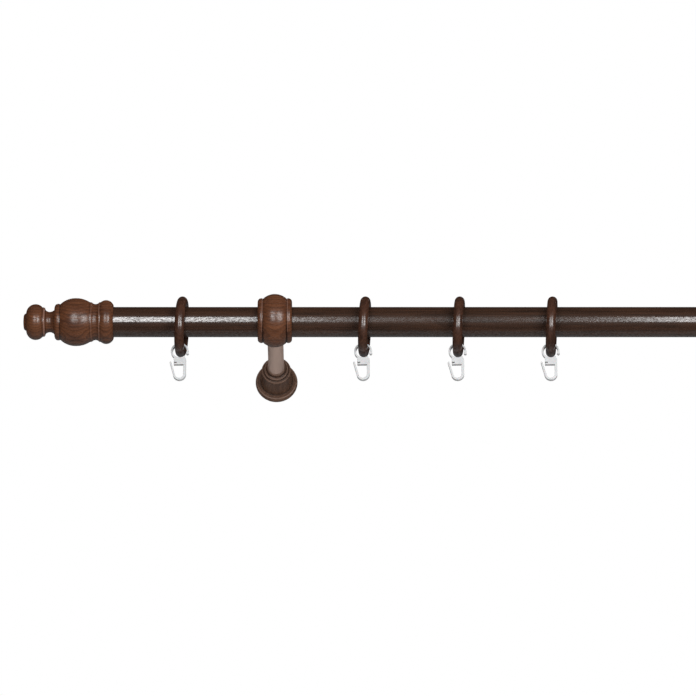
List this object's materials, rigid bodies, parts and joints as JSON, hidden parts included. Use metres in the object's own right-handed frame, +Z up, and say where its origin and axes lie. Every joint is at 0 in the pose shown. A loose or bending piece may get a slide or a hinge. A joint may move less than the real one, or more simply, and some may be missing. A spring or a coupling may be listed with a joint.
{
  "type": "curtain rod with brackets",
  "caption": "Round wooden curtain pole with turned finials on two turned wall brackets, carrying sliding wooden rings with clip-on plastic curtain hooks.",
  "frame": {"origin": "on the wall plane, half-way between the two bracket axes", "axes": "+X along the pole to the viewer's right, +Y into the wall, +Z up"},
  "size_m": [1.3172, 0.2062, 0.0853],
  "materials": {
    "pole_wood": "satin dark walnut stain with grain along the pole",
    "turned_wood": "glossy red-brown walnut lacquer on turned wood",
    "rosette_wood": "satin dark walnut lacquer on turned wood",
    "ring_wood": "satin red-brown walnut lacquer",
    "arm_wood": "satin taupe",
    "hook_plastic": "white moulded plastic",
    "zinc_steel": "zinc plated",
    "insert_brass": "turned brass"
  },
  "bodies": {
    "pole_and_brackets": {"pole": "pole_wood", "collar_left": "turned_wood", "arm_left": "arm_wood", "rosette_left": "rosette_wood", "hanger_bolt_left": "zinc_steel", "threaded_insert_left": "insert_brass", "collar_screw_left": "zinc_steel", "lock_screw_left": "zinc_steel", "collar_right": "turned_wood", "arm_right": "arm_wood", "rosette_right": "rosette_wood", "hanger_bolt_right": "zinc_steel", "threaded_insert_right": "insert_brass", "collar_screw_right": "zinc_steel", "lock_screw_right": "zinc_steel"},
    "finial_left": {"finial_left": "turned_wood"},
    "finial_right": {"finial_right": "turned_wood"},
    "ring_01": {"ring_01": "ring_wood"},
    "hook_01": {"hook_01": "hook_plastic"},
    "ring_02": {"ring_02": "ring_wood"},
    "hook_02": {"hook_02": "hook_plastic"},
    "ring_03": {"ring_03": "ring_wood"},
    "hook_03": {"hook_03": "hook_plastic"},
    "ring_04": {"ring_04": "ring_wood"},
    "hook_04": {"hook_04": "hook_plastic"},
    "ring_05": {"ring_05": "ring_wood"},
    "hook_05": {"hook_05": "hook_plastic"},
    "ring_06": {"ring_06": "ring_wood"},
    "hook_06": {"hook_06": "hook_plastic"},
    "ring_07": {"ring_07": "ring_wood"},
    "hook_07": {"hook_07": "hook_plastic"},
    "ring_08": {"ring_08": "ring_wood"},
    "hook_08": {"hook_08": "hook_plastic"}
  },
  "joints": [
    {"name": "finial_left_pull_off", "type": "slide", "parent": "pole_and_brackets", "child": "finial_left", "axis": [-1, 0, 0], "range_m": [0, 0.03]},
    {"name": "finial_right_pull_off", "type": "slide", "parent": "pole_and_brackets", "child": "finial_right", "axis": [1, 0, 0], "range_m": [0, 0.03]},
    {"name": "ring_01_slide", "type": "slide", "parent": "pole_and_brackets", "child": "ring_01", "axis": [1, 0, 0], "range_m": [-0.0563, 0.0635]},
    {"name": "hook_01_swing", "type": "hinge", "parent": "ring_01", "child": "hook_01", "pos_m": [-0.51321, -0.13993, -0.02987], "axis": [-0.0471, -0.9989, 0], "range_deg": [-75, 75]},
    {"name": "ring_02_slide", "type": "slide", "parent": "pole_and_brackets", "child": "ring_02", "axis": [1, 0, 0], "range_m": [-0.0604, 0.0686]},
    {"name": "hook_02_swing", "type": "hinge", "parent": "ring_02", "child": "hook_02", "pos_m": [-0.34371, -0.13993, -0.02987], "axis": [-0.0471, -0.9989, 0], "range_deg": [-75, 75]},
    {"name": "ring_03_slide", "type": "slide", "parent": "pole_and_brackets", "child": "ring_03", "axis": [1, 0, 0], "range_m": [-0.0686, 0.0673]},
    {"name": "hook_03_swing", "type": "hinge", "parent": "ring_03", "child": "hook_03", "pos_m": [-0.25641, -0.13993, -0.02987], "axis": [-0.0471, -0.9989, 0], "range_deg": [-75, 75]},
    {"name": "ring_04_slide", "type": "slide", "parent": "pole_and_brackets", "child": "ring_04", "axis": [1, 0, 0], "range_m": [-0.0673, 0.3202]},
    {"name": "hook_04_swing", "type": "hinge", "parent": "ring_04", "child": "hook_04", "pos_m": [-0.17041, -0.13993, -0.02987], "axis": [-0.0471, -0.9989, 0], "range_deg": [-75, 75]},
    {"name": "ring_05_slide", "type": "slide", "parent": "pole_and_brackets", "child": "ring_05", "axis": [1, 0, 0], "range_m": [-0.3202, 0.0673]},
    {"name": "hook_05_swing", "type": "hinge", "parent": "ring_05", "child": "hook_05", "pos_m": [0.16859, -0.13991, -0.02987], "axis": [-0.061, -0.9981, 0], "range_deg": [-75, 75]},
    {"name": "ring_06_slide", "type": "slide", "parent": "pole_and_brackets", "child": "ring_06", "axis": [1, 0, 0], "range_m": [-0.0673, 0.0673]},
    {"name": "hook_06_swing", "type": "hinge", "parent": "ring_06", "child": "hook_06", "pos_m": [0.25459, -0.14004, -0.02987], "axis": [0.0262, -0.9997, 0], "range_deg": [-75, 75]},
    {"name": "ring_07_slide", "type": "slide", "parent": "pole_and_brackets", "child": "ring_07", "axis": [1, 0, 0], "range_m": [-0.0673, 0.0608]},
    {"name": "hook_07_swing", "type": "hinge", "parent": "ring_07", "child": "hook_07", "pos_m": [0.34059, -0.13995, -0.02987], "axis": [-0.0349, -0.9994, 0], "range_deg": [-75, 75]},
    {"name": "ring_08_slide", "type": "slide", "parent": "pole_and_brackets", "child": "ring_08", "axis": [1, 0, 0], "range_m": [-0.0637, 0.0561]},
    {"name": "hook_08_swing", "type": "hinge", "parent": "ring_08", "child": "hook_08", "pos_m": [0.51059, -0.14006, -0.02987], "axis": [0.0436, -0.999, 0], "range_deg": [-75, 75]}
  ]
}
